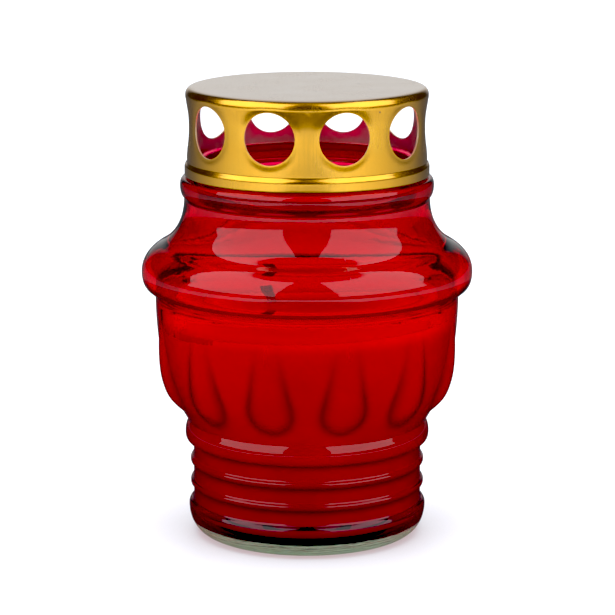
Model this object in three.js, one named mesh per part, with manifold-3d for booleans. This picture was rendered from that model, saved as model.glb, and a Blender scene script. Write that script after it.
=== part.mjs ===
// Sanctuary lamp: a red-lacquered glass jar with poured paraffin and a wick, under a vented metal cap.
// Units are millimetres and +Z is up. The origin is the middle of the flat foot that the jar stands on.
// Every body is round about Z, so each outline is written as points (radius, height).

import * as THREE from "three";
import { mergeVertices } from "three/addons/utils/BufferGeometryUtils.js";
import Module from "manifold-3d";

// ---------- driving dimensions ----------

const ROUND = 60; // facets about the axis
const JAR_CHORD = 4.5; // length that the jar's curves are broken into
const WAX_CHORD = 8;
const CAP_CHORD = 1.6;
const GAP = 0.3; // clearance kept between touching pieces

const JAR = {
  footRadius: 29.3, // outer edge of the flat foot ring
  footInner: 27, // inner edge of the flat foot ring
  puntHeight: 1.4, // hollow under the base
  heelRadius: 35.1,
  heelHeight: 8.2, // full radius up to here, then the heel rounds in to the band
  heelTop: 10.2,
  bandRadius: 33.7, // plain bands between the heel and the beads
  cupRadius: 44.5, // cup wall just under the shoulder
  cupPull: 60, // height from which the cup's wall runs straight up
  cupTop: 73.4,
  cupBottomRadius: 38.8,
  cupBottom: 40.5,
  bellyRadius: 43, // pull of the cup's curve where it swells out of the foot
  bellyHeight: 48,
  ledgeRadius: 46, // outer end of the flat underside of the shoulder
  shoulderRadius: 48.5,
  shoulderHeight: 78.6,
  flareRadius: 43, // where the barrel shoulder turns into the hollow sweep of the neck
  flareHeight: 86.7,
  flareSlope: 0.56, // rise per millimetre inward at that place
  neckRadius: 35.9,
  neckHeight: 100.5,
  collarRadius: 37.05, // bead that the cap's hem rests over
  collarHeight: 104,
  ledge: 106.4, // top of the collar
  finishRadius: 33.3, // plain mouth ring inside the cap
  mouthRadius: 30.4,
  height: 111.7,
};

// The two lower foot beads: narrow ridges on the band, at these heights.
const FOOT_BEADS = [15.3, 21.9];
// A ridge's crest, and its reach down to the root of its tight underside and up to the root of its soft top.
const BEAD = { radius: 34.6, under: 1.1, flatUnder: 0.25, flatOver: 0.15, over: 1.2 };
// The third, fuller bead, from its underside up to the valley that parts it from the cup.
const TOP_BEAD = { low: 30, high: 30.4, radius: 36.1, underside: 27.6, lip: 1.2, valley: 34, valleyRadius: 35 };

const DROPS = {
  count: 12, // drop-shaped bosses round the cup
  firstAngle: 15, // degrees from -Y to the first drop's middle
  relief: 2,
  top: 68, // where a drop fades into the wall
  belly: 46, // full relief from here down
  round: 44.3, // centre height of the half-round lower end
  halfWidth: 6.3,
  topHalfWidth: 2.2,
};

const INSIDE = {
  floor: 5,
  floorRadius: 22,
  lowRadius: 28.4,
  lowHeight: 11,
  waistRadius: 29.4,
  waist: 31,
  bellyRadius: 34.5, // pull of the curve round the wax
  bellyHeight: 40,
  fillRadius: 39.1, // at the top of the wax
  sillRadius: 40.2, // where the wall turns out under the shoulder
  sillHeight: 70,
  shoulderRadius: 44.6,
  flareRadius: 41,
  flareHeight: 84,
  neckRadius: 32.6,
  neckHeight: 99,
};

const WAX = {
  top: 65,
  gap: 0.4, // the wax shrinks from the glass as it sets
  meniscus: 1.2,
};

const WICK = {
  radius: 1.5,
  foot: new THREE.Vector3(0, 0, 8.2),
  surface: new THREE.Vector3(-10.5, 17, WAX.top), // where it leaves the wax
  tip: new THREE.Vector3(-12, 18.5, 71.5),
};

const SUSTAINER = { radius: 10, thickness: 0.4, collarRadius: 2.6, collarHeight: 5, bore: 1.8 };
const PAD = { radius: 9, thickness: 1.2 };

const CAP = {
  top: 132.8,
  hem: 106.7,
  radius: 35,
  cornerRadius: 35.4, // the wall is a touch wider at the top corner
  corner: 2.8,
  hemRadius: 35.7,
  hemHeight: 4.4,
  straightTop: 124.8, // the wall is straight below this and leans out above it
  sheet: 0.45,
};

const VENTS = { count: 10, radius: 7.5, height: 121.9, firstAngle: 18 };

const wasm = await Module();
wasm.setup();

// ---------- helpers ----------

/** A body of revolution about Z from a closed outline that starts and ends at the same place or on the axis. */
function revolve(outline, facets = ROUND) {
  const body = new THREE.LatheGeometry(outline, facets);
  body.rotateX(Math.PI / 2);
  return body;
}

/** The points of a THREE.Path, with curves broken into chords of about the given length. */
function outlineOf(path, chord) {
  const points = [path.curves[0].getPoint(0)];
  for (const curve of path.curves) {
    const steps = curve.isLineCurve ? 1 : THREE.MathUtils.clamp(Math.round(curve.getLength() / chord), 2, 6);
    points.push(...curve.getPoints(steps).slice(1));
  }
  return points;
}

function toManifold(geometry) {
  const bare = geometry.clone();
  bare.deleteAttribute("normal");
  bare.deleteAttribute("uv");
  const welded = mergeVertices(bare, 1e-4);
  const solid = new wasm.Mesh({
    numProp: 3,
    vertProperties: new Float32Array(welded.attributes.position.array),
    triVerts: new Uint32Array(welded.index.array),
  });
  return new wasm.Manifold(solid);
}

function toGeometry(manifold) {
  const solid = manifold.getMesh();
  const geometry = new THREE.BufferGeometry();
  geometry.setAttribute("position", new THREE.BufferAttribute(solid.vertProperties, 3));
  geometry.setIndex(new THREE.BufferAttribute(solid.triVerts, 1));
  geometry.computeVertexNormals();
  return geometry;
}

function named(name, geometry, look) {
  const mesh = new THREE.Mesh(geometry, new THREE.MeshStandardMaterial(look));
  mesh.name = name;
  return mesh;
}

/** A straight round bar between two points. */
function bar(from, to, radius, sides) {
  const along = new THREE.Vector3().subVectors(to, from);
  const geometry = new THREE.CylinderGeometry(radius, radius, along.length(), sides);
  geometry.applyQuaternion(
    new THREE.Quaternion().setFromUnitVectors(new THREE.Vector3(0, 1, 0), along.clone().normalize()),
  );
  return geometry.translate(...new THREE.Vector3().addVectors(from, to).multiplyScalar(0.5));
}

// ---------- glass jar ----------

/** One foot bead on the path: a tight underside, a short flat crest and a softer top. */
function addFootBead(path, crest) {
  const { radius, under, flatUnder, flatOver, over } = BEAD;
  path.lineTo(JAR.bandRadius, crest - under);
  path.quadraticCurveTo(radius, crest - under, radius, crest - flatUnder);
  path.lineTo(radius, crest + flatOver);
  path.quadraticCurveTo(radius, crest + (flatOver + over) / 2, JAR.bandRadius, crest + over);
}

/** The fuller bead under the cup. */
function addTopBead(path) {
  const { low, high, radius, underside, lip, valley, valleyRadius } = TOP_BEAD;
  path.lineTo(JAR.bandRadius, underside);
  path.lineTo(radius - lip, underside + GAP);
  path.quadraticCurveTo(radius, underside + 2 * GAP, radius, low);
  path.lineTo(radius, high);
  path.quadraticCurveTo(radius, (high + valley) / 2, valleyRadius, valley);
}

/** The outline of the flat foot, the heel, the plain bands and the three beads. */
function addFoot(path) {
  const { footRadius, footInner, puntHeight, heelRadius, heelHeight, heelTop, bandRadius } = JAR;
  path.moveTo(0, puntHeight);
  path.lineTo(footInner - 2, puntHeight);
  path.lineTo(footInner, 0);
  path.lineTo(footRadius, 0);
  path.bezierCurveTo((footRadius + 2 * heelRadius) / 3, GAP, heelRadius, heelHeight / 2, heelRadius, heelHeight);
  path.quadraticCurveTo(heelRadius, (heelHeight + heelTop) / 2, bandRadius, heelTop);
  for (const crest of FOOT_BEADS) {
    addFootBead(path, crest);
  }
  addTopBead(path);
}

/** The outline of the cup, the barrel shoulder, the neck and its collar. */
function addCupAndNeck(path) {
  const { cupRadius, cupTop, shoulderRadius, shoulderHeight, flareRadius, flareHeight, flareSlope } = JAR;
  path.lineTo(JAR.cupBottomRadius, JAR.cupBottom);
  path.bezierCurveTo(JAR.bellyRadius, JAR.bellyHeight, cupRadius, JAR.cupPull, cupRadius, cupTop - 0.8);
  path.quadraticCurveTo(cupRadius, cupTop, JAR.ledgeRadius, cupTop);
  path.quadraticCurveTo(shoulderRadius, cupTop + 1, shoulderRadius, shoulderHeight);
  const outward = 2.7;
  const inward = 4.8;
  path.bezierCurveTo(
    shoulderRadius,
    shoulderHeight + 4,
    flareRadius + outward,
    flareHeight - outward * flareSlope,
    flareRadius,
    flareHeight,
  );
  path.bezierCurveTo(
    flareRadius - inward,
    flareHeight + inward * flareSlope,
    JAR.neckRadius,
    JAR.neckHeight - 6,
    JAR.neckRadius,
    JAR.neckHeight,
  );
  path.quadraticCurveTo(JAR.collarRadius, JAR.neckHeight + 1.1, JAR.collarRadius, JAR.collarHeight);
  path.quadraticCurveTo(JAR.collarRadius, JAR.ledge, JAR.collarRadius - 1.4, JAR.ledge);
}

/** The outer outline, from the middle of the underside up to the mouth. */
function jarOutside() {
  const path = new THREE.Path();
  addFoot(path);
  addCupAndNeck(path);
  path.lineTo(JAR.finishRadius, JAR.ledge);
  path.lineTo(JAR.finishRadius, JAR.height - 1);
  return outlineOf(path, JAR_CHORD);
}

/** The mouth and the inner wall, from the mouth down to the middle of the floor. */
function jarInside() {
  const { shoulderRadius, flareRadius, flareHeight, neckRadius, neckHeight } = INSIDE;
  const path = new THREE.Path();
  path.moveTo(JAR.finishRadius, JAR.height - 1);
  path.quadraticCurveTo(JAR.finishRadius, JAR.height, JAR.finishRadius - 1.4, JAR.height);
  path.quadraticCurveTo(JAR.mouthRadius, JAR.height, JAR.mouthRadius, JAR.height - 1);
  path.lineTo(JAR.mouthRadius, JAR.ledge);
  path.quadraticCurveTo(neckRadius, neckHeight + 4, neckRadius, neckHeight);
  path.bezierCurveTo(neckRadius, neckHeight - 8, flareRadius - 3, flareHeight + 3, flareRadius, flareHeight);
  path.quadraticCurveTo(shoulderRadius, flareHeight - 2.5, shoulderRadius, JAR.shoulderHeight);
  path.quadraticCurveTo(shoulderRadius, INSIDE.sillHeight + 3, INSIDE.sillRadius, INSIDE.sillHeight);
  addFillWall(path, 0);
  path.lineTo(0, INSIDE.floor);
  return outlineOf(path, JAR_CHORD);
}

/** The stretch of inner wall that the wax stands against, from the top of the wax to the floor's edge. */
function addFillWall(path, inset) {
  const { fillRadius, bellyRadius, bellyHeight, waistRadius, waist, lowRadius, lowHeight, floor } = INSIDE;
  const upper = fillRadius - 1.3; // pull of the curve just under the top of the wax
  path.lineTo(fillRadius - inset, WAX.top);
  path.bezierCurveTo(
    upper - inset,
    bellyHeight + 8,
    bellyRadius - inset,
    bellyHeight,
    waistRadius - inset,
    waist,
  );
  path.lineTo(lowRadius - inset, lowHeight);
  path.quadraticCurveTo(lowRadius - inset, floor + inset, INSIDE.floorRadius, floor + inset);
}

/** How far the glass stands out at an angle (radians from a drop's middle) and height. */
function dropRelief(angle, height, radius) {
  if (height > DROPS.top || height < DROPS.round - DROPS.halfWidth) {
    return 0;
  }
  const across = Math.abs(angle) * radius;
  const rise = THREE.MathUtils.clamp((height - DROPS.belly) / (DROPS.top - DROPS.belly), 0, 1);
  const halfWidth = THREE.MathUtils.lerp(DROPS.halfWidth, DROPS.topHalfWidth, rise);
  const below = Math.max(0, DROPS.round - height) / DROPS.halfWidth;
  const dome = 1 - (across / halfWidth) ** 2 - below ** 2;
  const taper = 1 - THREE.MathUtils.smoothstep(rise, 0, 1);
  return DROPS.relief * taper * Math.max(0, dome);
}

/** Pushes the outside out where the drops are. The first `outside` points of each outline are its outer face. */
function raiseDrops(geometry, outside, outline) {
  const position = geometry.attributes.position;
  const pitch = (2 * Math.PI) / DROPS.count;
  const first = THREE.MathUtils.degToRad(DROPS.firstAngle);
  for (let i = 0; i < position.count; i++) {
    if (i % outline >= outside) {
      continue;
    }
    const [x, y, z] = [position.getX(i), position.getY(i), position.getZ(i)];
    const radius = Math.hypot(x, y);
    const turns = (Math.atan2(x, -y) - first) / pitch;
    const angle = (turns - Math.round(turns)) * pitch;
    const scale = 1 + dropRelief(angle, z, radius) / Math.max(radius, DROPS.relief);
    position.setXY(i, x * scale, y * scale);
  }
}

function glassJar() {
  const outside = jarOutside();
  const outline = [...outside, ...jarInside().slice(1)];
  const geometry = revolve(outline);
  raiseDrops(geometry, outside.length, outline.length);
  return named("glass_jar", toGeometry(toManifold(geometry)), {
    color: 0xb00512,
    roughness: 0.08,
    metalness: 0,
  });
}

// ---------- paraffin, wick and what holds the wick ----------

function waxFill() {
  const base = INSIDE.floor + WAX.gap;
  const edge = INSIDE.fillRadius - WAX.gap;
  const path = new THREE.Path();
  path.moveTo(0, WAX.top - WAX.meniscus);
  path.lineTo(edge - 5, WAX.top - WAX.meniscus);
  path.quadraticCurveTo(edge - 1, WAX.top - WAX.meniscus, edge, WAX.top);
  addFillWall(path, WAX.gap);
  path.lineTo(0, base);
  const outline = outlineOf(path, WAX_CHORD).reverse();
  const body = toManifold(revolve(outline));
  return named("wax_fill", toGeometry(body.subtract(wickHardwareSpace())), {
    color: 0xe6dccb,
    roughness: 0.55,
    metalness: 0,
  });
}

/** The room that the wick, its sustainer and the pad take up in the wax, with clearance all round. */
function wickHardwareSpace() {
  const base = INSIDE.floor;
  const padTop = base + GAP + PAD.thickness;
  const discTop = padTop + GAP + SUSTAINER.thickness + GAP;
  const collarTop = discTop + SUSTAINER.collarHeight + GAP;
  const pocket = [
    new THREE.Vector2(0, base),
    new THREE.Vector2(SUSTAINER.radius + GAP, base),
    new THREE.Vector2(SUSTAINER.radius + GAP, discTop),
    new THREE.Vector2(SUSTAINER.collarRadius + GAP, discTop),
    new THREE.Vector2(SUSTAINER.collarRadius + GAP, collarTop),
    new THREE.Vector2(0, collarTop),
  ];
  const channel = wickLine(WICK.radius + GAP, WICK.surface.clone().lerp(WICK.tip, 0.4));
  return toManifold(revolve(pocket, 24)).add(channel);
}

/** The wick as a bar from the sustainer to the wax's surface and a second one up to `end`. */
function wickLine(radius, end) {
  const sides = 8;
  const upright = WICK.foot.clone().setZ(WICK.foot.z + 8);
  const joints = [WICK.foot, upright, WICK.surface, end];
  let line = toManifold(bar(joints[0], joints[1], radius, sides));
  for (let i = 1; i < joints.length - 1; i++) {
    const knuckle = new THREE.SphereGeometry(radius, sides, 4).translate(...joints[i]);
    line = line.add(toManifold(knuckle)).add(toManifold(bar(joints[i], joints[i + 1], radius, sides)));
  }
  return line;
}

function wick() {
  return named("wick", toGeometry(wickLine(WICK.radius, WICK.tip)), {
    color: 0x3b332c,
    roughness: 0.9,
    metalness: 0,
  });
}

function wickSustainer() {
  const base = INSIDE.floor + GAP + PAD.thickness + GAP;
  const top = base + SUSTAINER.thickness;
  const outline = [
    new THREE.Vector2(SUSTAINER.bore, base),
    new THREE.Vector2(SUSTAINER.radius, base),
    new THREE.Vector2(SUSTAINER.radius, top),
    new THREE.Vector2(SUSTAINER.collarRadius, top),
    new THREE.Vector2(SUSTAINER.collarRadius, top + SUSTAINER.collarHeight),
    new THREE.Vector2(SUSTAINER.bore, top + SUSTAINER.collarHeight),
    new THREE.Vector2(SUSTAINER.bore, base),
  ];
  return named("wick_sustainer", toGeometry(toManifold(revolve(outline, 24))), {
    color: 0xb9bcc0,
    roughness: 0.35,
    metalness: 1,
  });
}

function adhesivePad() {
  const geometry = new THREE.CylinderGeometry(PAD.radius, PAD.radius, PAD.thickness, 24);
  geometry.rotateX(Math.PI / 2);
  geometry.translate(0, 0, INSIDE.floor + GAP + PAD.thickness / 2);
  return named("adhesive_pad", geometry, { color: 0xf2efe6, roughness: 0.7, metalness: 0 });
}

// ---------- vented cap ----------

/** The cap's sheet: outside from the middle of the top down to the hem, and back up inside. */
function capShell() {
  const flare = CAP.hem + CAP.hemHeight;
  const path = new THREE.Path();
  path.moveTo(0, CAP.top);
  path.lineTo(CAP.cornerRadius - CAP.corner, CAP.top);
  path.quadraticCurveTo(CAP.cornerRadius, CAP.top, CAP.cornerRadius, CAP.top - CAP.corner);
  path.lineTo(CAP.radius, CAP.straightTop);
  path.lineTo(CAP.radius, flare);
  path.quadraticCurveTo(CAP.hemRadius, flare - 0.6, CAP.hemRadius, CAP.hem + 1);
  path.quadraticCurveTo(CAP.hemRadius, CAP.hem, CAP.hemRadius - 0.7, CAP.hem);
  path.lineTo(CAP.radius - CAP.sheet, CAP.hem + 0.7);
  path.lineTo(CAP.radius - CAP.sheet, CAP.straightTop);
  path.lineTo(CAP.cornerRadius - CAP.sheet, CAP.top - CAP.corner);
  path.quadraticCurveTo(
    CAP.cornerRadius - CAP.sheet,
    CAP.top - CAP.sheet,
    CAP.cornerRadius - CAP.corner,
    CAP.top - CAP.sheet,
  );
  path.lineTo(0, CAP.top - CAP.sheet);
  return toManifold(revolve(outlineOf(path, CAP_CHORD).reverse()));
}

/** One round punch through the wall, pointing out from the axis at `angle` degrees from -Y. */
function ventPunch(angle) {
  const depth = 8;
  const punch = new THREE.CylinderGeometry(VENTS.radius, VENTS.radius, depth, 32);
  punch.translate(0, -CAP.radius, 0);
  punch.rotateZ(THREE.MathUtils.degToRad(angle));
  return toManifold(punch.translate(0, 0, VENTS.height));
}

function ventedCap() {
  let shell = capShell();
  for (let i = 0; i < VENTS.count; i++) {
    shell = shell.subtract(ventPunch(VENTS.firstAngle + (i * 360) / VENTS.count));
  }
  return named("vented_cap", toGeometry(shell), { color: 0xd9a63c, roughness: 0.28, metalness: 1 });
}

// ---------- assembly ----------

const lamp = new THREE.Group();
lamp.add(glassJar(), adhesivePad(), wickSustainer(), waxFill(), wick(), ventedCap());

export default lamp;
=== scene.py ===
# Looks of the sanctuary lamp: red-lacquered glass jar, poured paraffin, wick and vented gold cap.
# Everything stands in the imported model's frame, in metres: +Z up, the front towards -Y.
import math

import bmesh
import bpy
import numpy as np
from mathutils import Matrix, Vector, noise


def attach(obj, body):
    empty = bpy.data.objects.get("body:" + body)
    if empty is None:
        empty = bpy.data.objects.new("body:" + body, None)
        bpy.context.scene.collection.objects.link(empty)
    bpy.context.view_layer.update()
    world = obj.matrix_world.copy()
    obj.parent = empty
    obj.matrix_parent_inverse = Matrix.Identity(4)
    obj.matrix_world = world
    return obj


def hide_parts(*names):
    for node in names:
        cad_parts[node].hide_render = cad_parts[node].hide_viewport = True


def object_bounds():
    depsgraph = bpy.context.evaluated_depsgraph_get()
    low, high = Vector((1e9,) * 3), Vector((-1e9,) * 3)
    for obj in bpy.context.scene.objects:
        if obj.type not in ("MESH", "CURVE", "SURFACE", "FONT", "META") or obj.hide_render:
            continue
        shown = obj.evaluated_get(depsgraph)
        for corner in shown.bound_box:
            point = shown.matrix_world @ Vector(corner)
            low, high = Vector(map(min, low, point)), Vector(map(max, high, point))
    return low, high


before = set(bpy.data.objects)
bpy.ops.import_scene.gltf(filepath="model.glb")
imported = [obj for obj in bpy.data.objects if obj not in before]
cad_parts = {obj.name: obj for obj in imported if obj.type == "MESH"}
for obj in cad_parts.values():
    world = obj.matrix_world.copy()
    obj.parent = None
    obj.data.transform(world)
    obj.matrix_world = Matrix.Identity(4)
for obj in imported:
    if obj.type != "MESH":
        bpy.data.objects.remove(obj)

CAD_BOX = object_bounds()
MM = 0.001  # outlines are written in millimetres, as (radius, height)

# ---------- driving dimensions, millimetres and degrees ----------

FOOT_RADIUS, FOOT_INNER, PUNT = 29.3, 27.0, 1.4  # standing ring, and the hollow inside it
HEEL_RADIUS, HEEL_HEIGHT, HEEL_TOP = 35.1, 8.2, 10.2
BAND_RADIUS = 33.7  # plain bands between the heel and the beads
FOOT_BEADS, BEAD_RADIUS = (15.3, 21.9), 34.6  # heights and radius of the two narrow beads
BEAD_UNDER, BEAD_OVER = 1.1, 1.2  # how far a bead reaches below and above its height
BEAD_FLAT_UNDER, BEAD_FLAT_OVER = 0.25, 0.15
TOP_BEAD_UNDERSIDE, TOP_BEAD_LOW, TOP_BEAD_HIGH = 27.6, 30.0, 30.4
TOP_BEAD_RADIUS, TOP_BEAD_LIP = 36.1, 1.2
VALLEY, VALLEY_RADIUS = 34.0, 35.0  # between the top bead and the cup
CUP_BOTTOM, CUP_BOTTOM_RADIUS = 40.5, 38.8
CUP_RADIUS, CUP_TOP = 44.5, 73.4
SHOULDER_RADIUS, SHOULDER_HEIGHT = 48.5, 78.6
FLARE_RADIUS, FLARE_HEIGHT, FLARE_SLOPE = 43.0, 86.7, 0.56  # where the barrel turns into the neck's sweep
FLARE_PULL_OUT, FLARE_PULL_IN = 2.7, 4.8
NECK_RADIUS, NECK_HEIGHT = 35.9, 100.5
COLLAR_RADIUS, COLLAR_HEIGHT, LEDGE = 37.05, 104.0, 106.4
FINISH_RADIUS, MOUTH_RADIUS, JAR_HEIGHT = 33.3, 30.4, 111.7

DROPS, DROP_ANGLE, DROP_RELIEF = 12, 15.0, 2.0
DROP_TOP, DROP_BELLY, DROP_ROUND = 68.0, 46.0, 44.3  # heights of the tip, widest place and round end's middle
DROP_HALF, DROP_TOP_HALF = 6.3, 2.2  # half widths at the widest place and at the tip

FLOOR, FLOOR_RADIUS = 5.0, 22.0  # inside of the jar
LOW_RADIUS, LOW_HEIGHT = 28.4, 11.0
WAIST_RADIUS, WAIST = 29.4, 31.0
BELLY_RADIUS, BELLY = 34.5, 40.0
FILL_RADIUS, FILL = 39.1, 65.0  # wall and level at the top of the wax
SILL_RADIUS, SILL = 40.2, 70.0
INNER_SHOULDER, INNER_FLARE, INNER_FLARE_HEIGHT = 44.6, 41.0, 84.0
INNER_NECK, INNER_NECK_HEIGHT = 32.6, 99.0
LACQUER_EDGE = 4.3  # the dip coat stops here, and the foot below it is bare

WAX_GRIP, MENISCUS = 0.12, 1.2  # the wax clings to the glass: its skin lies just inside the wall's face
WAX_TILT = 0.029  # the lamp cooled on a slight slope, so the wax is lower on the left
WICK_RADIUS, BRAID_PITCH = 1.5, 7.0
WICK_PATH = ((0, 0, 8.2), (0, 0, 16.2), (-5, 8, 40), (-10.5, 17, 65), (-12, 18.5, 71.5))
STACK_GAP, PAD_THICK = 0.3, 1.2  # adhesive pad on the floor, and the sustainer above it
SUSTAINER_SHEET, COLLAR_RISE = 0.4, 5.0

CAP_TOP, CAP_HEM, CAP_RADIUS = 132.8, 106.7, 35.0
CAP_STRAIGHT_TOP, CAP_CORNER_RADIUS, CAP_CORNER = 124.8, 35.4, 2.8  # above this height the wall leans out
HEM_RADIUS, HEM_HEIGHT, HEM_CURL, SHEET = 35.7, 4.4, 0.7, 0.45
VENTS, VENT_RADIUS, VENT_HEIGHT, VENT_ANGLE = 10, 7.5, 121.9, 18.0

# ---------- helpers for shapes ----------


class Outline:
    """Points (radius, height) joined by straight lines and Bezier curves."""

    def __init__(self, radius, height):
        self.points = [np.array((radius, height), float)]

    def curve(self, *controls, chord=0.8):
        """A Bezier curve on the control points, or a line on one, in chords of about that length."""
        places = [self.points[-1]] + [np.array(c, float) for c in controls]
        length = sum(np.linalg.norm(b - a) for a, b in zip(places, places[1:]))
        steps = max(1, round(length / chord))
        for i in range(1, steps + 1):
            level = places
            while len(level) > 1:
                level = [a + (b - a) * i / steps for a, b in zip(level, level[1:])]
            self.points.append(level[0])


def smooth(value):
    """Smoothstep from 0 to 1."""
    value = np.clip(value, 0, 1)
    return value * value * (3 - 2 * value)


def place(radius, angle, height):
    """Points in millimetres at angles (radians) from the front, which is -Y."""
    return np.stack(np.broadcast_arrays(radius * np.sin(angle), -radius * np.cos(angle), height), -1)


def even_angles(steps):
    return np.arange(steps) * 2 * math.pi / steps


def new_object(name, vertices, faces, sharp=None):
    """An object from vertices in millimetres, smooth apart from edges bent by more than `sharp` degrees."""
    mesh = bpy.data.meshes.new(name)
    mesh.from_pydata((np.asarray(vertices) * MM).tolist(), [], faces)
    mesh.shade_smooth()
    if sharp:
        mesh.set_sharp_from_angle(angle=math.radians(sharp))
    thing = bpy.data.objects.new(name, mesh)
    bpy.context.scene.collection.objects.link(thing)
    return thing


def ring_faces(rings, steps):
    """Quads between rings of points that close round the axis."""
    faces = []
    for i in range(rings - 1):
        for j in range(steps):
            k = (j + 1) % steps
            faces.append((i * steps + j, i * steps + k, (i + 1) * steps + k, (i + 1) * steps + j))
    return faces


def turned(name, rings, sharp=None):
    """A closed body from rings[ring, step] of points in millimetres. A fan closes each end ring."""
    count, steps = rings.shape[:2]
    first, last = count * steps, count * steps + 1
    vertices = np.vstack([rings.reshape(-1, 3), rings[0].mean(0), rings[-1].mean(0)])
    faces = ring_faces(count, steps)
    for j in range(steps):
        k = (j + 1) % steps
        faces.append((first, k, j))
        faces.append((last, (count - 1) * steps + j, (count - 1) * steps + k))
    return new_object(name, vertices, faces, sharp)


def set_attribute(thing, name, values):
    attribute = thing.data.attributes.new(name, "FLOAT", "POINT")
    attribute.data.foreach_set("value", np.asarray(values, np.float32))


def ripple(point, size, seed=0.0):
    """Smooth noise from about -1 to 1 that changes over `size` millimetres."""
    return noise.noise(Vector(point) / size + Vector((seed, seed, seed)))


# ---------- helpers for materials ----------


def new_material(name):
    material = bpy.data.materials.new(name)
    material.use_nodes = True
    material.node_tree.nodes.clear()
    return material, material.node_tree


def add(tree, kind, inputs=None, **settings):
    """A new shader node; each input is set to a value or linked to another node's socket."""
    node = tree.nodes.new("ShaderNode" + kind)
    for key, value in settings.items():
        setattr(node, key, value)
    for key, value in (inputs or {}).items():
        if isinstance(value, bpy.types.NodeSocket):
            tree.links.new(value, node.inputs[key])
        else:
            node.inputs[key].default_value = value
    return node


def maths(tree, operation, a, b=0.0):
    return add(tree, "Math", {0: a, 1: b}, operation=operation).outputs[0]


def remap(tree, value, low, high, to_low=0.0, to_high=1.0, soft=True):
    """The value rescaled from low..high, held at the ends."""
    kind = "SMOOTHSTEP" if soft else "LINEAR"
    spans = {"Value": value, "From Min": low, "From Max": high, "To Min": to_low, "To Max": to_high}
    return add(tree, "MapRange", spans, interpolation_type=kind).outputs[0]


def mix_values(tree, factor, a, b):
    return add(tree, "Mix", {0: factor, 2: a, 3: b}, data_type="FLOAT").outputs[0]


def blend_colours(tree, factor, a, b):
    return add(tree, "Mix", {0: factor, 6: a, 7: b}, data_type="RGBA").outputs[2]


def object_place(tree, stretch=(1, 1, 1)):
    """The object's own coordinates, in millimetres, stretched per axis."""
    where = add(tree, "TexCoord").outputs["Object"]
    scale = tuple(s / MM for s in stretch)
    return add(tree, "VectorMath", {0: where, 1: scale}, operation="MULTIPLY").outputs[0]


def grain(tree, vector, scale, detail=3.0, roughness=0.5):
    inputs = {"Vector": vector, "Scale": scale, "Detail": detail, "Roughness": roughness}
    return add(tree, "TexNoise", inputs).outputs["Fac"]


def bump(tree, height, distance, strength=1.0, under=None):
    inputs = {"Height": height, "Distance": distance * MM, "Strength": strength}
    if under:
        inputs["Normal"] = under
    return add(tree, "Bump", inputs).outputs[0]


def finish_with(tree, shader):
    add(tree, "OutputMaterial", {"Surface": shader})


def finish_plain(tree, inputs):
    """Ends a material in one Principled shader."""
    finish_with(tree, add(tree, "BsdfPrincipled", inputs).outputs[0])


# ---------- glass jar ----------


def foot_outline():
    """The underside, heel and beads, from the middle of the underside up to the valley under the cup."""
    outline = Outline(3.0, PUNT)
    outline.curve((FOOT_INNER - 2, PUNT), chord=4)
    outline.curve((FOOT_INNER - 0.8, PUNT), (FOOT_INNER - 0.5, 0.2), (FOOT_INNER + 0.3, 0), chord=0.5)
    outline.curve((FOOT_RADIUS, 0), chord=0.6)
    pull = ((FOOT_RADIUS + 2 * HEEL_RADIUS) / 3, 0.3)
    outline.curve(pull, (HEEL_RADIUS, HEEL_HEIGHT / 2), (HEEL_RADIUS, HEEL_HEIGHT), chord=0.6)
    middle = (HEEL_HEIGHT + HEEL_TOP) / 2
    outline.curve((HEEL_RADIUS, middle), (BAND_RADIUS + 0.3, HEEL_TOP - 0.3), chord=0.25)
    outline.curve((BAND_RADIUS, HEEL_TOP), (BAND_RADIUS, HEEL_TOP + 0.8), chord=0.3)
    for crest in FOOT_BEADS:
        low = crest - BEAD_UNDER
        high = crest + BEAD_OVER
        middle = crest + (BEAD_FLAT_OVER + BEAD_OVER) / 2
        outline.curve((BAND_RADIUS, low - 0.2), chord=0.8)
        outline.curve((BAND_RADIUS, low + 0.1), (BAND_RADIUS + 0.3, low + 0.2), chord=0.15)
        outline.curve((BEAD_RADIUS, low + 0.3), (BEAD_RADIUS, crest - BEAD_FLAT_UNDER), chord=0.2)
        outline.curve((BEAD_RADIUS, crest + BEAD_FLAT_OVER), chord=0.3)
        outline.curve((BEAD_RADIUS, middle), (BAND_RADIUS + 0.25, high - 0.25), chord=0.2)
        outline.curve((BAND_RADIUS, high), (BAND_RADIUS, high + 0.5), chord=0.2)
    under = TOP_BEAD_UNDERSIDE
    outline.curve((BAND_RADIUS, under - 0.2), chord=0.8)
    outline.curve((BAND_RADIUS, under), (BAND_RADIUS + 0.3, under + 0.1), chord=0.15)
    outline.curve((TOP_BEAD_RADIUS - TOP_BEAD_LIP, under + 0.3), chord=0.4)
    outline.curve((TOP_BEAD_RADIUS, under + 0.6), (TOP_BEAD_RADIUS, TOP_BEAD_LOW), chord=0.4)
    outline.curve((TOP_BEAD_RADIUS, TOP_BEAD_HIGH), chord=0.6)
    middle = (TOP_BEAD_HIGH + VALLEY) / 2
    outline.curve((TOP_BEAD_RADIUS, middle), (VALLEY_RADIUS + 0.15, VALLEY - 0.2), chord=0.4)
    outline.curve((VALLEY_RADIUS, VALLEY), (VALLEY_RADIUS + 0.2, VALLEY + 0.22), chord=0.15)
    return outline


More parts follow.
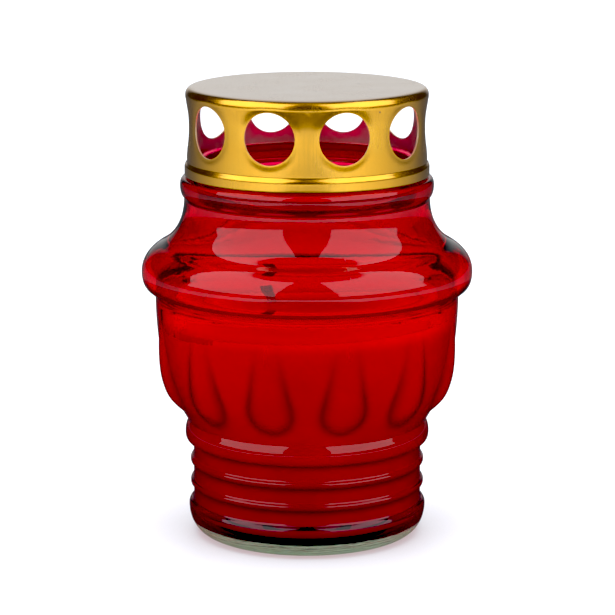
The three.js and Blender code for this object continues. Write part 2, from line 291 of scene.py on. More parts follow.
def outer_outline():
    """The whole outer face, from the middle of the underside up to the mouth."""
    outline = foot_outline()
    outline.curve((CUP_BOTTOM_RADIUS, CUP_BOTTOM), chord=0.55)
    outline.curve((43, 48), (CUP_RADIUS, 60), (CUP_RADIUS, CUP_TOP - 0.8), chord=0.9)
    outline.curve((CUP_RADIUS, CUP_TOP), (46, CUP_TOP), chord=0.4)
    outline.curve((SHOULDER_RADIUS, CUP_TOP + 1), (SHOULDER_RADIUS, SHOULDER_HEIGHT), chord=0.6)
    barrel_pull = (FLARE_RADIUS + FLARE_PULL_OUT, FLARE_HEIGHT - FLARE_PULL_OUT * FLARE_SLOPE)
    sweep_pull = (FLARE_RADIUS - FLARE_PULL_IN, FLARE_HEIGHT + FLARE_PULL_IN * FLARE_SLOPE)
    flare = (FLARE_RADIUS, FLARE_HEIGHT)
    neck = (NECK_RADIUS, NECK_HEIGHT)
    outline.curve((SHOULDER_RADIUS, SHOULDER_HEIGHT + 4), barrel_pull, flare, chord=0.7)
    outline.curve(sweep_pull, (NECK_RADIUS, NECK_HEIGHT - 6), neck, chord=0.8)
    outline.curve((COLLAR_RADIUS, NECK_HEIGHT + 1.1), (COLLAR_RADIUS, COLLAR_HEIGHT), chord=0.4)
    outline.curve((COLLAR_RADIUS, LEDGE), (COLLAR_RADIUS - 1.4, LEDGE), chord=0.4)
    outline.curve((FINISH_RADIUS + 0.4, LEDGE), chord=0.6)
    outline.curve((FINISH_RADIUS, LEDGE), (FINISH_RADIUS, LEDGE + 0.5), chord=0.3)
    outline.curve((FINISH_RADIUS, JAR_HEIGHT - 1), chord=1)
    return outline


def fill_wall(outline, inset, chord):
    """The wall that the wax stands against, from the top of the wax to the floor."""
    outline.curve((FILL_RADIUS - inset, FILL), chord=chord)
    upper = (FILL_RADIUS - 1.3 - inset, BELLY + 8)
    outline.curve(upper, (BELLY_RADIUS - inset, BELLY), (WAIST_RADIUS - inset, WAIST), chord=chord)
    outline.curve((LOW_RADIUS - inset, LOW_HEIGHT), chord=chord)
    corner = (LOW_RADIUS - inset, FLOOR + inset)
    outline.curve(corner, (FLOOR_RADIUS, FLOOR + inset), chord=chord)


def inner_outline():
    """The mouth and the inner face, from the mouth down to the middle of the floor."""
    outline = Outline(FINISH_RADIUS, JAR_HEIGHT - 1)
    outline.curve((FINISH_RADIUS, JAR_HEIGHT), (FINISH_RADIUS - 1.4, JAR_HEIGHT), chord=0.4)
    outline.curve((MOUTH_RADIUS, JAR_HEIGHT), (MOUTH_RADIUS, JAR_HEIGHT - 1), chord=0.4)
    outline.curve((MOUTH_RADIUS, LEDGE), chord=1.5)
    outline.curve((INNER_NECK, INNER_NECK_HEIGHT + 4), (INNER_NECK, INNER_NECK_HEIGHT), chord=1.2)
    sweep = (INNER_NECK, INNER_NECK_HEIGHT - 8), (INNER_FLARE - 3, INNER_FLARE_HEIGHT + 3)
    outline.curve(*sweep, (INNER_FLARE, INNER_FLARE_HEIGHT), chord=1.2)
    outline.curve((INNER_SHOULDER, INNER_FLARE_HEIGHT - 2.5), (INNER_SHOULDER, SHOULDER_HEIGHT), chord=1.2)
    outline.curve((INNER_SHOULDER, SILL + 3), (SILL_RADIUS, SILL), chord=1.2)
    fill_wall(outline, 0, 1.5)
    outline.curve((3.0, FLOOR), chord=4)
    return outline


def drop_half_width(height):
    """Half the width of a drop, and a stand-in above and below it that spreads the mesh lines again."""
    if height > DROP_TOP:
        spread = smooth((height - DROP_TOP) / 4)
        return DROP_TOP_HALF + (DROP_HALF - DROP_TOP_HALF) * spread
    rise = np.clip((height - DROP_BELLY) / (DROP_TOP - DROP_BELLY), 0, 1)
    if height >= DROP_ROUND:
        return DROP_HALF + (DROP_TOP_HALF - DROP_HALF) * rise
    circle = DROP_HALF * math.sqrt(max(0, 1 - ((DROP_ROUND - height) / DROP_HALF) ** 2))
    spread = smooth((DROP_ROUND - DROP_HALF - height) / 4)
    return max(circle, 0.9 + (DROP_HALF - 0.9) * spread)


def drop_angles(radius, height):
    """Angles round one ring, with mesh lines that follow the edges of the drops."""
    pitch = 2 * math.pi / DROPS
    half = drop_half_width(height) / max(radius, 12)
    inside = np.array((0, 0.2, 0.4, 0.6, 0.8, 0.93, 1.0, 1.07)) * half
    outside = np.linspace(inside[-1], pitch / 2, 5)[1:]
    right = np.concatenate([inside, outside])
    one_drop = np.concatenate([-right[:0:-1], right[:-1]])
    middles = math.radians(DROP_ANGLE) + np.arange(DROPS) * pitch
    return (middles[:, None] + one_drop[None, :]).ravel()


def drop_dome(angles, height, radius):
    """How far inside a drop's edge a place is (1 on its middle line), and how much the drop fades there."""
    pitch = 2 * math.pi / DROPS
    turns = (angles - math.radians(DROP_ANGLE)) / pitch
    across = np.abs(turns - np.round(turns)) * pitch * radius
    rise = np.clip((height - DROP_BELLY) / (DROP_TOP - DROP_BELLY), 0, 1)
    half = DROP_HALF + (DROP_TOP_HALF - DROP_HALF) * rise
    below = max(0, DROP_ROUND - height) / DROP_HALF
    return 1 - (across / half) ** 2 - below**2, 1 - smooth(rise)


def drop_relief(angles, height, radius):
    """How far the glass stands out, in millimetres."""
    dome, taper = drop_dome(angles, height, radius)
    rounding = 0.05
    return DROP_RELIEF * taper * 0.5 * (dome + np.sqrt(dome**2 + rounding**2))


def painted_shade_places(angles, height, radius):
    """Painted shade, from 0 to 1: dark lines under the beads, fainter ones at the cup's top and the neck, and
    shade in the creases round the drops.
    """
    shade_marks = 0
    for level in (*(crest - BEAD_UNDER for crest in FOOT_BEADS), TOP_BEAD_UNDERSIDE):
        shade_marks += math.exp(-(((height - level) / 1.3) ** 2))
    shade_marks += 0.45 * math.exp(-(((height - CUP_TOP) / 1.2) ** 2))
    shade_marks += 0.4 * math.exp(-(((height - NECK_HEIGHT) / 1.2) ** 2))
    dome, taper = drop_dome(angles, height, radius)
    crease = np.exp(-((dome / 0.5) ** 2)) * taper * float(height > VALLEY)
    return np.clip(shade_marks + 0.85 * crease, 0, 1)


def jar_rings():
    """Rings of points over the outer face, then the inner one; their painted shade; and how many are outside.
    """
    outer = outer_outline().points
    inner = inner_outline().points[1:]
    rings = []
    painted_shade = []
    for i, (radius, height) in enumerate(outer + inner):
        angles = drop_angles(radius, height)
        on_outside = i < len(outer)
        painted_shade.append(painted_shade_places(angles, height, radius) * on_outside)
        if on_outside and height > VALLEY:
            radius = radius + drop_relief(angles, height, radius)
        rings.append(place(radius, angles, height))
    return np.array(rings), np.array(painted_shade), len(outer)


def wave_glass(rings, outside):
    """Gives the blown glass its slow waves: faint outside, stronger inside where no mould touched it."""
    for i, ring in enumerate(rings):
        height = ring[0][2]
        settle = float(smooth((height - 3) / 8)) * float(smooth((LEDGE - height) / 5))
        if i < outside:
            swing = 0.05 * settle
            size = 16
        else:
            swing = (0.08 + 0.16 * float(smooth((height - FILL - 2) / 6))) * settle
            size = 20
        for point in ring:
            radius = math.hypot(point[0], point[1])
            scale = 1 + swing * ripple(point, size, 3.7) / radius
            point[0] *= scale
            point[1] *= scale


def glass_jar():
    """The blown jar as one closed body, with its coated side and its painted shade kept as attributes."""
    rings, painted_shade, outside = jar_rings()
    wave_glass(rings, outside)
    jar = turned("glass_jar_blown", rings, sharp=70)
    steps = rings.shape[1]
    coated = np.zeros(len(jar.data.vertices))
    coated[: outside * steps] = 1
    set_attribute(jar, "coated", coated)
    set_attribute(jar, "painted_shade", np.append(painted_shade.ravel(), (0, 0)))
    jar.data.materials.append(lacquered_glass())
    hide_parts("glass_jar")
    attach(jar, "jar")
    return jar


# Colours of the coat as seen: lighter and darker ends of the painted light and shade by height, near black
# for painted shade under the beads and at the heel, and dark where the coat is crossed at a slant, partly
# painted shade.
RED_LIGHTER, RED_DARKER = (0.76, 0.0001, 0.006, 1), (0.16, 0.0001, 0.004, 1)
RED_PAINTED_SHADE, RED_SLANT_SHADE = (0.012, 0.0002, 0.0008, 1), (0.03, 0.0001, 0.003, 1)
# The tint of light that comes in through the coat, lighter over the wax and darker towards the foot with the
# same painted light and shade.
VEIL_LIGHTER, VEIL_DARKER = (0.90, 0.010, 0.022, 1), (0.66, 0.004, 0.014, 1)
BARE_GLASS, BARE_VEIL = (0.66, 0.84, 0.66, 1), (0.82, 0.92, 0.82, 1)
HEEL_SHADE_FULL, HEEL_SHADE_END = 5.5, 9.0  # painted shade, nearly black at the heel and gone by the second height


def lacquered_glass():
    """Clear, faintly green glass whose outer face carries a transparent red dip coat down to the foot."""
    material, tree = new_material("red_lacquered_glass")
    where = object_place(tree)
    height = add(tree, "SeparateXYZ", {0: where}).outputs[2]
    outside = add(tree, "Attribute", attribute_name="coated").outputs["Fac"]
    edge = maths(tree, "ADD", height, maths(tree, "MULTIPLY", grain(tree, where, 0.12, 2), 0.8))
    above_edge = remap(tree, edge, LACQUER_EDGE + 0.2, LACQUER_EDGE + 0.6)
    coat = maths(tree, "MULTIPLY", outside, above_edge)
    bare_foot = maths(tree, "SUBTRACT", outside, coat)
    # Painted light and shade by height: the red is darker towards the foot as painted shade and lighter above
    # the wax line as painted light on the wax top, with real streaks in the coat.
    streak = maths(tree, "MULTIPLY", grain(tree, where, 0.045, 3), 0.3)
    painted_shade_to_foot = remap(tree, height, 8.0, FILL - 4, -0.16, 0.14)
    painted_light_over_wax = remap(tree, height, FILL - 3, FILL + 4, 0.0, 0.85)
    painted_light_and_streaks = maths(tree, "ADD", maths(tree, "ADD", painted_shade_to_foot, painted_light_over_wax), streak)
    # The red is darker again over the shoulder and neck.
    painted_light_and_streaks = maths(tree, "SUBTRACT", painted_light_and_streaks, remap(tree, height, CUP_TOP, CUP_TOP + 8, 0.0, 0.38))
    shade_marks = add(tree, "Attribute", attribute_name="painted_shade").outputs["Fac"]
    in_creases = maths(tree, "MULTIPLY", shade_marks, 0.95)
    # Painted shade: near black at the heel, and in lines under the beads, at the cup's top and neck, and
    # round the drops.
    painted_shade = maths(tree, "MAXIMUM", remap(tree, edge, HEEL_SHADE_FULL, HEEL_SHADE_END, 1, 0), in_creases)
    red = blend_colours(tree, painted_light_and_streaks, RED_DARKER, RED_LIGHTER)
    red = blend_colours(tree, painted_shade, red, RED_PAINTED_SHADE)
    # Darker where the coat is crossed at a slant: partly the coat's longer path there, partly painted shade
    # along edges and under the beads, less of it over the shoulder.
    slanted = add(tree, "LayerWeight", {"Blend": 0.5}).outputs["Facing"]
    darkest = remap(tree, height, CUP_TOP, CUP_TOP + 10, 0.85, 0.5)
    red = blend_colours(tree, remap(tree, slanted, 0.35, 0.95, 0, darkest), red, RED_SLANT_SHADE)
    # The light let in towards the wax follows the same painted light and shade.
    veil_red = blend_colours(tree, painted_light_and_streaks, VEIL_DARKER, VEIL_LIGHTER)
    # The mould's parting line, the skin of the blown glass, and the fine ridges ground into the foot.
    seam_side = (math.cos(math.radians(DROP_ANGLE)), math.sin(math.radians(DROP_ANGLE)), 0)
    from_seam = add(tree, "VectorMath", {0: where, 1: seam_side}, operation="DOT_PRODUCT").outputs["Value"]
    seam = maths(tree, "MULTIPLY", remap(tree, maths(tree, "ABSOLUTE", from_seam), 0.5, 0.0), outside)
    ridges = maths(tree, "MULTIPLY", grain(tree, object_place(tree, (0.12, 0.12, 2.6)), 0.8, 3), bare_foot)
    normal = bump(tree, grain(tree, where, 0.35, 2), 0.02)
    normal = bump(tree, seam, 0.015, under=normal)
    normal = bump(tree, ridges, 0.35, under=normal)
    polish = remap(tree, grain(tree, where, 0.6, 3), 0.3, 0.8, 0.015, 0.05)
    glass = add(
        tree,
        "BsdfPrincipled",
        {
            "Base Color": blend_colours(tree, coat, BARE_GLASS, red),
            "Roughness": maths(tree, "ADD", polish, maths(tree, "MULTIPLY", bare_foot, 0.2)),
            "IOR": 1.5,
            "Transmission Weight": 1.0,
            "Normal": normal,
        },
    )
    # Light from the lamps and the studio reaches the wax through the glass, tinted by the coat.
    path = add(tree, "LightPath").outputs
    veil = add(tree, "BsdfTransparent", {"Color": blend_colours(tree, coat, BARE_VEIL, veil_red)})
    bounced = add(tree, "MixShader", {0: path["Is Diffuse Ray"], 1: glass.outputs[0], 2: veil.outputs[0]})
    lit = add(tree, "MixShader", {0: path["Is Shadow Ray"], 1: bounced.outputs[0], 2: veil.outputs[0]})
    finish_with(tree, lit.outputs[0])
    return material


# ---------- paraffin ----------


def wax_fill():
    """The poured wax wets the glass. It has a slight tilt, a ripple, and a meniscus at edge and wick."""
    edge = FILL_RADIUS + WAX_GRIP
    outline = Outline(edge, FILL)
    fill_wall(outline, -WAX_GRIP, 1.5)
    outline.curve((3.0, FLOOR - WAX_GRIP), chord=4)
    wall = outline.points[1:][::-1]
    top = Outline(edge, FILL)
    top.curve((edge - 0.5, FILL - MENISCUS), (edge - 4, FILL - MENISCUS), chord=0.6)
    top.curve((1.5, FILL - MENISCUS), chord=1.5)
    rings = np.array([place(radius, even_angles(144), height) for radius, height in wall + top.points])
    sill_lean = (SILL_RADIUS - FILL_RADIUS) / (SILL - FILL)
    wick_x, wick_y = WICK_PATH[3][:2]
    for ring in rings:
        for point in ring:
            radius = math.hypot(point[0], point[1])
            near_top = float(smooth((point[2] - FILL + 12) / 10))
            lift = near_top * WAX_TILT * point[0]
            point[2] += lift
            if near_top == 1 and radius < edge - 2:
                wick_distance = math.hypot(point[0] - wick_x, point[1] - wick_y)
                point[2] += 0.9 * math.exp(-((wick_distance / 3.2) ** 2))
                point[2] += 0.25 * ripple(point, 9, 1.3)
            else:
                spread = 1 + sill_lean * lift / max(radius, 1.0)
                point[0] *= spread
                point[1] *= spread
    wax = turned("paraffin", rings, sharp=60)
    wax.data.materials.append(paraffin())
    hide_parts("wax_fill")
    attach(wax, "jar")
    return wax


def paraffin():
    """Translucent white wax, cloudy inside, with a dull skin and fine crystal bloom."""
    material, tree = new_material("poured_paraffin")
    where = object_place(tree)
    cloud = remap(tree, grain(tree, where, 0.05, 4), 0.3, 0.7)
    colour = blend_colours(tree, cloud, (0.90, 0.86, 0.78, 1), (0.96, 0.94, 0.89, 1))
    bloom = grain(tree, where, 0.9, 4)
    inputs = {
        "Base Color": colour,
        "Roughness": remap(tree, bloom, 0.3, 0.7, 0.42, 0.6),
        "Subsurface Weight": 0.5,
        "Subsurface Radius": (1.0, 0.8, 0.6),
        "Subsurface Scale": 0.003,
        "Normal": bump(tree, bloom, 0.08, 0.6, bump(tree, grain(tree, where, 0.11, 2), 0.5)),
    }
    finish_plain(tree, inputs)
    return material


# ---------- wick, sustainer and pad ----------


def smooth_path(points, steps):
    """Points along a Catmull-Rom curve through the given ones."""
    points = [Vector(p) for p in points]
    points = [2 * points[0] - points[1], *points, 2 * points[-1] - points[-2]]
    path = []
    for a, b, c, d in zip(points, points[1:], points[2:], points[3:]):
        for i in range(steps):
            t = i / steps
            bend = (2 * a - 5 * b + 4 * c - d) * t**2
            twist = (3 * b - a - 3 * c + d) * t**3
            path.append(0.5 * (2 * b + (c - a) * t + bend + twist))
    return path + [points[-2]]


def wick():
    """A braided cotton cord: two sets of strands cross round it, and the burnt tip is swollen."""
    path = smooth_path(WICK_PATH, 60)
    steps = 40
    rings = []
    travelled = 0.0
    for i, point in enumerate(path):
        ahead = path[min(i + 1, len(path) - 1)]
        behind = path[max(i - 1, 0)]
        along = (ahead - behind).normalized()
        side = along.cross(Vector((0, 1, 0))).normalized()
        other = along.cross(side)
        travelled += (point - behind).length
        burnt = float(smooth((point.z - FILL) / 4))
        angles = even_angles(steps)
        turn = travelled * 2 * math.pi / BRAID_PITCH
        strands = np.maximum(np.cos(4 * angles - turn * 2), np.cos(4 * angles + turn * 2))
        radius = WICK_RADIUS * (0.86 + 0.14 * strands) * (1 + 0.3 * burnt)
        radius = radius + 0.12 * burnt * ripple(point, 1.2, 5.0)
        ring = zip(radius, angles)
        rings.append([point + side * (r * math.cos(a)) + other * (r * math.sin(a)) for r, a in ring])
    cord = turned("wick_braid", np.array(rings))
    cord.data.materials.append(waxed_cotton())
    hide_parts("wick")
    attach(cord, "jar")
    return cord


def waxed_cotton():
    """Cotton soaked in wax, browned where it leaves the wax and charred at the tip."""
    material, tree = new_material("waxed_cotton_wick")
    where = object_place(tree)
    height = add(tree, "SeparateXYZ", {0: where}).outputs[2]
    fibre = grain(tree, object_place(tree, (1, 1, 0.3)), 5.0, 4)
    clean = blend_colours(tree, fibre, (0.62, 0.56, 0.45, 1), (0.80, 0.75, 0.64, 1))
    char = blend_colours(tree, fibre, (0.14, 0.10, 0.085, 1), (0.32, 0.25, 0.20, 1))
    burnt = remap(tree, maths(tree, "ADD", height, fibre), FILL - 1, FILL + 4)
    inputs = {
        "Base Color": blend_colours(tree, burnt, clean, char),
        "Roughness": remap(tree, fibre, 0.2, 0.8, 0.6, 0.9),
        "Normal": bump(tree, fibre, 0.15),
    }
    finish_plain(tree, inputs)
    return material


def wick_sustainer():
    """A stamped disc with a rolled rim, a raised ring and a collar crimped on the wick in four places."""
    base = FLOOR + STACK_GAP + PAD_THICK + STACK_GAP
    top = base + SUSTAINER_SHEET
    outline = Outline(1.8, base)
    outline.curve((5.2, base), chord=0.6)
    under = base + 0.5
    outline.curve((5.8, base), (6.0, under), (6.6, under), (7.2, under), (7.4, base), chord=0.3)
    outline.curve((9.6, base), chord=0.5)
    outline.curve((10, base), (10, base + SUSTAINER_SHEET / 2), (10, top), (9.6, top), chord=0.15)
    outline.curve((7.4, top), chord=0.6)
    over = top + 0.5
    outline.curve((7.2, over), (6.6, over), (6.0, over), (5.8, top), (5.2, top), chord=0.3)
    outline.curve((2.9, top), chord=0.5)
    outline.curve((2.45, top), (2.4, top + 0.5), chord=0.2)
    outline.curve((2.4, top + COLLAR_RISE - 0.2), chord=0.5)
    outline.curve((2.4, top + COLLAR_RISE), (2.1, top + COLLAR_RISE), (1.85, top + COLLAR_RISE), chord=0.15)
    outline.curve((1.8, base), chord=0.5)
    angles = even_angles(64)
    rings = []
    for radius, height in outline.points[:-1]:
        collar = float(smooth((height - base - 2) / 1.5)) * float(smooth(base + COLLAR_RISE - height))
        crimp = 0.25 * collar * smooth((np.cos(4 * angles) - 0.4) / 0.5)
        rings.append(place(radius - crimp, angles, height))
    count, steps = len(rings), len(angles)
    faces = ring_faces(count, steps)
    last = (count - 1) * steps
    faces += [(last + j, last + (j + 1) % steps, (j + 1) % steps, j) for j in range(steps)]
    vertices = np.array(rings)
    disc = new_object("wick_sustainer_stamped", vertices.reshape(-1, 3), faces, sharp=50)
    disc.data.materials.append(bare_tinplate("bare_tinplate"))
    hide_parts("wick_sustainer")
    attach(disc, "jar")
    return disc


def adhesive_pad():
    """A soft pad with a bulged edge and a slightly wavy outline."""
    low = FLOOR + STACK_GAP
    high = low + PAD_THICK
    outline = Outline(1.0, low)
    outline.curve((8.4, low), chord=1)
    outline.curve((9.0, low), (9.0, (low + high) / 2), (9.0, high), (8.4, high), chord=0.25)
    outline.curve((1.0, high), chord=1)
    rings = np.array([place(radius, even_angles(72), height) for radius, height in outline.points])
    for ring in rings:
        for point in ring:
            scale = 1 + 0.012 * ripple(point, 3, 2.0)
            point[0] *= scale
            point[1] *= scale
    pad = turned("adhesive_pad_soft", rings, sharp=60)
    pad.data.materials.append(soft_adhesive())
    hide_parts("adhesive_pad")
    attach(pad, "jar")
    return pad


def soft_adhesive():
    """Pale foam."""
    material, tree = new_material("soft_adhesive")
    where = object_place(tree)
    foam = grain(tree, where, 2.2, 4)
    inputs = {
        "Base Color": blend_colours(tree, foam, (0.80, 0.78, 0.72, 1), (0.93, 0.92, 0.87, 1)),
        "Roughness": remap(tree, foam, 0.3, 0.7, 0.6, 0.85),
        "Normal": bump(tree, foam, 0.1),
    }
    finish_plain(tree, inputs)
    return material


# ---------- vented cap ----------

SECTOR_STEPS = 12  # mesh steps along each side of the square patch round a vent
PATCH_LOW, PATCH_HIGH = 112.5, 130.0
VENT_DISH, VENT_DISH_WIDTH = 0.16, 2.2  # punching draws the metal in round each vent


def cap_wall_radius(height):
    """Radius of the drawn wall, which leans out a little towards the top corner."""
    lean = np.clip((height - CAP_STRAIGHT_TOP) / (CAP_TOP - CAP_CORNER - CAP_STRAIGHT_TOP), 0, 1)
    return CAP_RADIUS + (CAP_CORNER_RADIUS - CAP_RADIUS) * lean**1.3


def vent_dish(angle, height):
    """How far the sheet is drawn in at a place on the wall, in millimetres."""
    pitch = 2 * math.pi / VENTS
    turns = (angle - math.radians(VENT_ANGLE)) / pitch
    across = (turns - np.round(turns)) * pitch * CAP_RADIUS
    distance = np.hypot(across, height - VENT_HEIGHT) - VENT_RADIUS
    return VENT_DISH * (1 - smooth(distance / VENT_DISH_WIDTH))


def cap_point(radius, angle, height):
    return place(radius - vent_dish(angle, height), angle, height)


def vent_patches():
    """The wall between the vents' rows: for each vent, rings of points from the round edge to a square."""
    steps = SECTOR_STEPS
    half = math.pi / VENTS
    corners = ((half, PATCH_LOW), (half, PATCH_HIGH), (-half, PATCH_HIGH), (-half, PATCH_LOW))
    square = []
    for i, corner in enumerate(corners):
        start, end = np.array(corner), np.array(corners[(i + 1) % 4])
        square += [start + (end - start) * j / steps for j in range(steps)]
    square = np.array(square)
    turn = -math.pi / 4 + even_angles(4 * steps)
    across = np.arcsin(VENT_RADIUS * np.cos(turn) / CAP_RADIUS)
    circle = np.stack([across, VENT_HEIGHT + VENT_RADIUS * np.sin(turn)], -1)
    shares = np.array((0, 0.04, 0.1, 0.2, 0.35, 0.55, 0.78, 1.0))[:, None, None]
    flat = circle + (square - circle) * shares
    patches = []
    for i in range(VENTS):
        angle = math.radians(VENT_ANGLE) + 2 * math.pi * i / VENTS
        patches.append(cap_point(cap_wall_radius(flat[..., 1]), flat[..., 0] + angle, flat[..., 1]))
    return patches


def cap_rows(points, angles):
    return np.array([cap_point(radius, angles, height) for radius, height in points])


def cap_sheet():
    """The outer face of the sheet as one open skin: top, corner, vented wall, flared hem and its curl."""
    steps = VENTS * SECTOR_STEPS
    angles = even_angles(steps)
    hem_top = CAP_HEM + HEM_HEIGHT
    curl_inside = HEM_RADIUS - 2 * HEM_CURL
    curl_middle = CAP_HEM + HEM_CURL
    curl_pull = curl_middle - HEM_CURL * 4 / 3
    lower = Outline(curl_inside, CAP_HEM + 2.2)
    lower.curve((curl_inside, curl_middle), chord=0.4)
    lower.curve((curl_inside, curl_pull), (HEM_RADIUS, curl_pull), (HEM_RADIUS, curl_middle), chord=0.2)
    lower.curve((HEM_RADIUS, hem_top - 1.6), chord=0.5)
    shoulder = (HEM_RADIUS, hem_top - 0.5), (CAP_RADIUS, hem_top - 0.6)
    lower.curve(*shoulder, (CAP_RADIUS, hem_top + 0.2), chord=0.2)
    lower.curve((CAP_RADIUS, PATCH_LOW), chord=0.7)
    corner_radius = cap_wall_radius(PATCH_HIGH)
    upper = Outline(corner_radius, PATCH_HIGH)
    inner = CAP_CORNER_RADIUS - CAP_CORNER
    upper.curve((corner_radius, CAP_TOP), (inner, CAP_TOP), chord=0.35)
    upper.curve((1.0, CAP_TOP), chord=2.2)
    low_rows = cap_rows(lower.points, angles)
    high_rows = cap_rows(upper.points, angles)
    vertices = [low_rows.reshape(-1, 3), high_rows.reshape(-1, 3)]
    faces = ring_faces(len(low_rows), steps)
    base = low_rows.shape[0] * steps
    faces += [tuple(base + v for v in face) for face in ring_faces(len(high_rows), steps)]
    middle = base + high_rows.shape[0] * steps
    vertices.append(high_rows[-1].mean(0)[None])
    last = middle - steps
    faces += [(middle, last + j, last + (j + 1) % steps) for j in range(steps)]
    start = middle + 1
    for patch in vent_patches():
        rings, around = patch.shape[:2]
        vertices.append(patch.reshape(-1, 3))
        for face in ring_faces(rings, around):
            faces.append(tuple(start + v for v in reversed(face)))
        start += rings * around
    return np.vstack(vertices), faces


def vented_cap():
    """The cap: its outer skin, thickened inwards, with lacquer outside, bare tin inside and a cut edge."""
    vertices, faces = cap_sheet()
    for point in vertices:
        point[2] += 0.05 * ripple(point, 18, 8.0) * float(smooth((point[2] - CAP_TOP + 1) / 1))
    cap = new_object("vented_cap_drawn", vertices, faces)
    work = bmesh.new()
    work.from_mesh(cap.data)
    bmesh.ops.remove_doubles(work, verts=work.verts, dist=0.01 * MM)
    bmesh.ops.recalc_face_normals(work, faces=work.faces)
    work.to_mesh(cap.data)
    work.free()
    thick = cap.modifiers.new("sheet", "SOLIDIFY")
    thick.thickness = SHEET * MM
    thick.offset = -1
    thick.use_even_offset = True
    thick.material_offset = 1
    thick.material_offset_rim = 2
    for material in (gold_lacquer(), bare_tinplate("cap_inside_tinplate"), cut_edge()):
        cap.data.materials.append(material)
    bpy.context.view_layer.objects.active = cap
    bpy.ops.object.modifier_apply(modifier=thick.name)
    cap.data.set_sharp_from_angle(angle=math.radians(50))
    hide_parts("vented_cap")
    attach(cap, "cap")
    return cap


def rolled_grain(tree):
    """Fine lines of the rolled sheet: across the flat top along Y, and up the drawn wall."""
    stretched = object_place(tree, (1, 0.03, 0.02))
    around = object_place(tree, (1, 1, 0.02))
    height = add(tree, "SeparateXYZ", {0: object_place(tree)}).outputs[2]
    on_top = remap(tree, height, CAP_TOP - 0.6, CAP_TOP - 0.1)
    wall = grain(tree, around, 2.2, 4, 0.7)
    top = grain(tree, stretched, 2.2, 4, 0.7)
    return mix_values(tree, on_top, wall, top), on_top


def gold_lacquer():
    """Transparent gold lacquer over tinplate: satin, with rolling lines, faint smudges, a few specks, and a
    paler top that is painted sheen.
    """
    material, tree = new_material("gold_lacquered_tinplate")
    where = object_place(tree)
    lines, on_top = rolled_grain(tree)
    smudge = grain(tree, where, 0.09, 4)
    gold = blend_colours(tree, remap(tree, smudge, 0.3, 0.7), (0.72, 0.36, 0.006, 1), (0.80, 0.42, 0.014, 1))
    # Painted sheen: the flat top takes a paler, greyer gold that stands in for the lacquer's reflection at a
    # slant.
    colour = blend_colours(tree, on_top, gold, (0.76, 0.59, 0.41, 1))
    spots = add(tree, "TexVoronoi", {"Vector": where, "Scale": 0.16, "Randomness": 1.0}).outputs["Distance"]
    speck = remap(tree, spots, 0.05, 0.08, 1, 0)
    mixed = maths(tree, "ADD", maths(tree, "MULTIPLY", lines, 0.6), smudge)
    inputs = {
        "Base Color": blend_colours(tree, speck, colour, (0.25, 0.14, 0.05, 1)),
        "Metallic": 1.0,
        "Roughness": remap(tree, mixed, 0.4, 1.2, 0.17, 0.30),
        "Coat Weight": 1.0,
        "Coat Roughness": 0.15,
        "Coat IOR": 1.5,
        "Normal": bump(tree, lines, 0.012, 0.6, bump(tree, grain(tree, where, 0.07, 2), 0.12)),
    }
    finish_plain(tree, inputs)
    return material


def bare_tinplate(name):
    """Plain tin coat with its crystal bloom."""
    material, tree = new_material(name)
    where = object_place(tree)
    bloom = grain(tree, where, 0.5, 5)
    inputs = {
        "Base Color": blend_colours(tree, bloom, (0.66, 0.66, 0.67, 1), (0.82, 0.81, 0.80, 1)),
        "Metallic": 1.0,
        "Roughness": remap(tree, bloom, 0.3, 0.7, 0.28, 0.42),
        "Normal": bump(tree, bloom, 0.02),
    }
    finish_plain(tree, inputs)
    return material


def cut_edge():
    """The sheared edge of the sheet: bright steel, its colour tinted with the gold of the lacquer beside it
    as a painted reflection.
    """
    material, tree = new_material("sheared_edge")
    fine = grain(tree, object_place(tree), 4.0, 3)
    inputs = {
        "Base Color": blend_colours(tree, fine, (0.88, 0.66, 0.40, 1), (0.98, 0.80, 0.55, 1)),
        "Metallic": 0.7,
        "Roughness": remap(tree, fine, 0.3, 0.7, 0.3, 0.5),
        "Normal": bump(tree, fine, 0.03),
    }
    finish_plain(tree, inputs)
    return material


# ---------- studio ----------

CAMERA_DISTANCE, CAMERA_HEIGHT, CAMERA_SIDE = 0.7919, 0.2348, 0.00014  # metres
CAMERA_PITCH, CAMERA_LENS = 11.96, 160.8
SOFTBOX_LIGHT, BACKDROP_LIGHT, CEILING_LIGHT, WHITE_GROUND = 2.2, 0.68, 0.4, 1.05
ROOM_LIGHT, ROOM_THROUGH_GLASS = 0.06, 0.42
OVERHEAD_POWER = 36
BLACK_LEVEL = (0.03, 0.03, 0.026)
DEGREE = math.radians(1)


def camera():
    data = bpy.data.cameras.new("camera")
    data.lens = CAMERA_LENS
    data.sensor_width = 36
    data.clip_start = 0.01
    data.clip_end = 50
    thing = bpy.data.objects.new("camera", data)
    thing.location = (CAMERA_SIDE, -CAMERA_DISTANCE, CAD_BOX[0][2] + CAMERA_HEIGHT)
    thing.rotation_euler = (math.radians(90 - CAMERA_PITCH), 0, 0)
    bpy.context.scene.collection.objects.link(thing)
    bpy.context.scene.camera = thing


